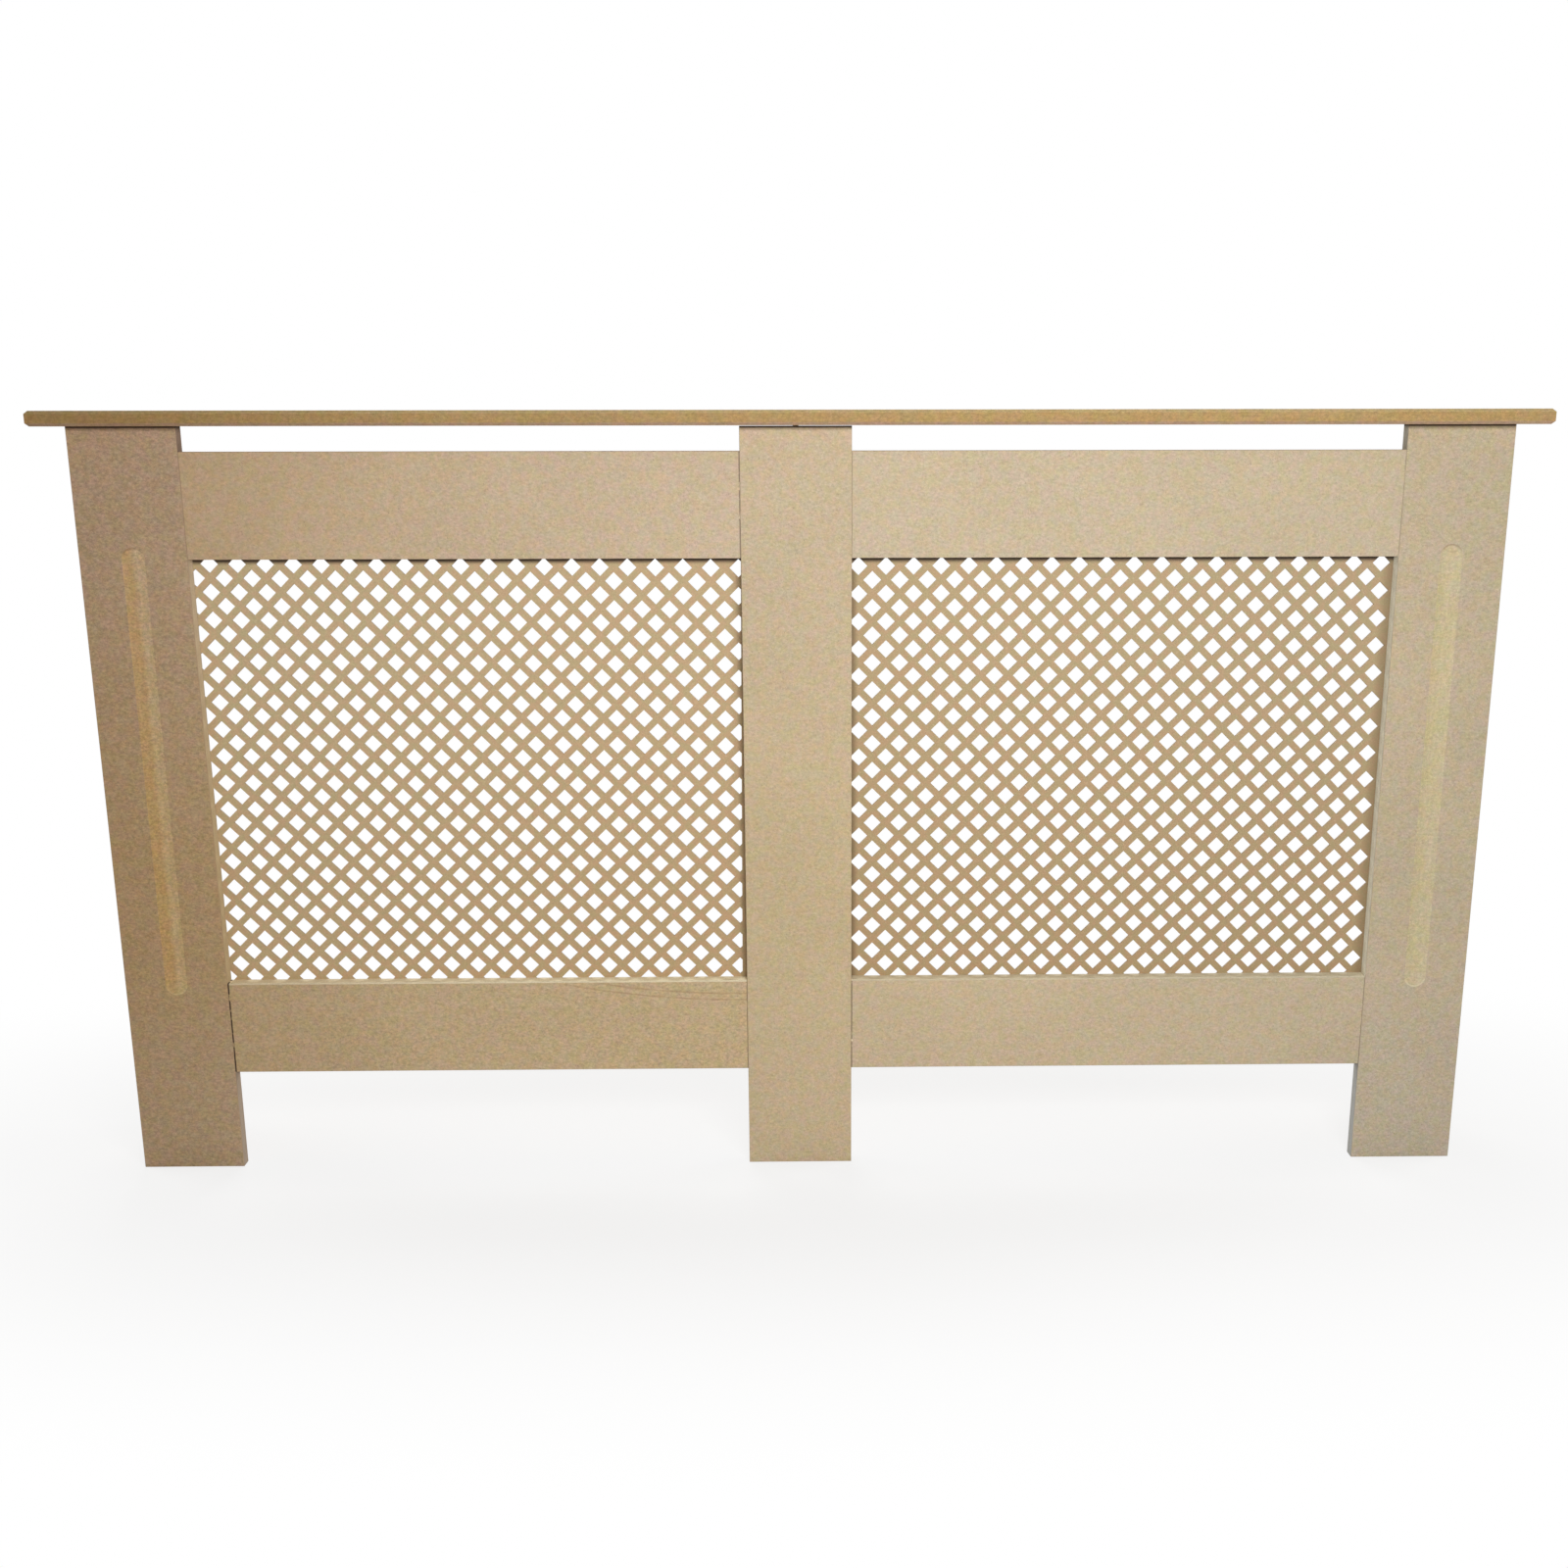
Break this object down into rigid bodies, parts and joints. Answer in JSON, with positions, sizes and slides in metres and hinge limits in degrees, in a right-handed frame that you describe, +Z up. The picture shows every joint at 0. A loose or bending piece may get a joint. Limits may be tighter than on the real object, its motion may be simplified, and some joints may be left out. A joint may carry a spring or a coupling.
{
  "type": "radiator cover cabinet",
  "caption": "Unpainted fibreboard radiator cover cabinet: fluted legs, centre stile, diamond lattice grilles behind a rail-and-leg frame, side panels and a plain top shelf.",
  "frame": {"origin": "on the floor, under the middle of the shelf's outline", "axes": "+X to the right seen from the front, +Y from the front to the wall, +Z up"},
  "size_m": [1.52, 0.19, 0.815],
  "materials": {
    "mdf_board": "raw sanded fibreboard",
    "mdf_shelf": "raw sanded fibreboard, cut edges",
    "grille_sheet": "raw thin fibreboard",
    "softwood": "planed softwood",
    "beech_dowel": "turned beech",
    "zinc_steel": "zinc plated"
  },
  "bodies": {
    "root": {"top_shelf": "mdf_shelf", "centre_stile": "mdf_board", "left_leg": "mdf_board", "top_rail_left": "mdf_board", "bottom_rail_left": "mdf_board", "grille_left": "grille_sheet", "side_panel_left": "mdf_board", "corner_batten_left": "softwood", "right_leg": "mdf_board", "top_rail_right": "mdf_board", "bottom_rail_right": "mdf_board", "grille_right": "grille_sheet", "side_panel_right": "mdf_board", "corner_batten_right": "softwood", "rail_dowels": "beech_dowel", "shelf_dowels": "beech_dowel", "batten_screws": "zinc_steel", "grille_screws": "zinc_steel", "bracket_screws": "zinc_steel", "shelf_brackets": "zinc_steel", "wall_brackets": "zinc_steel"}
  },
  "joints": []
}
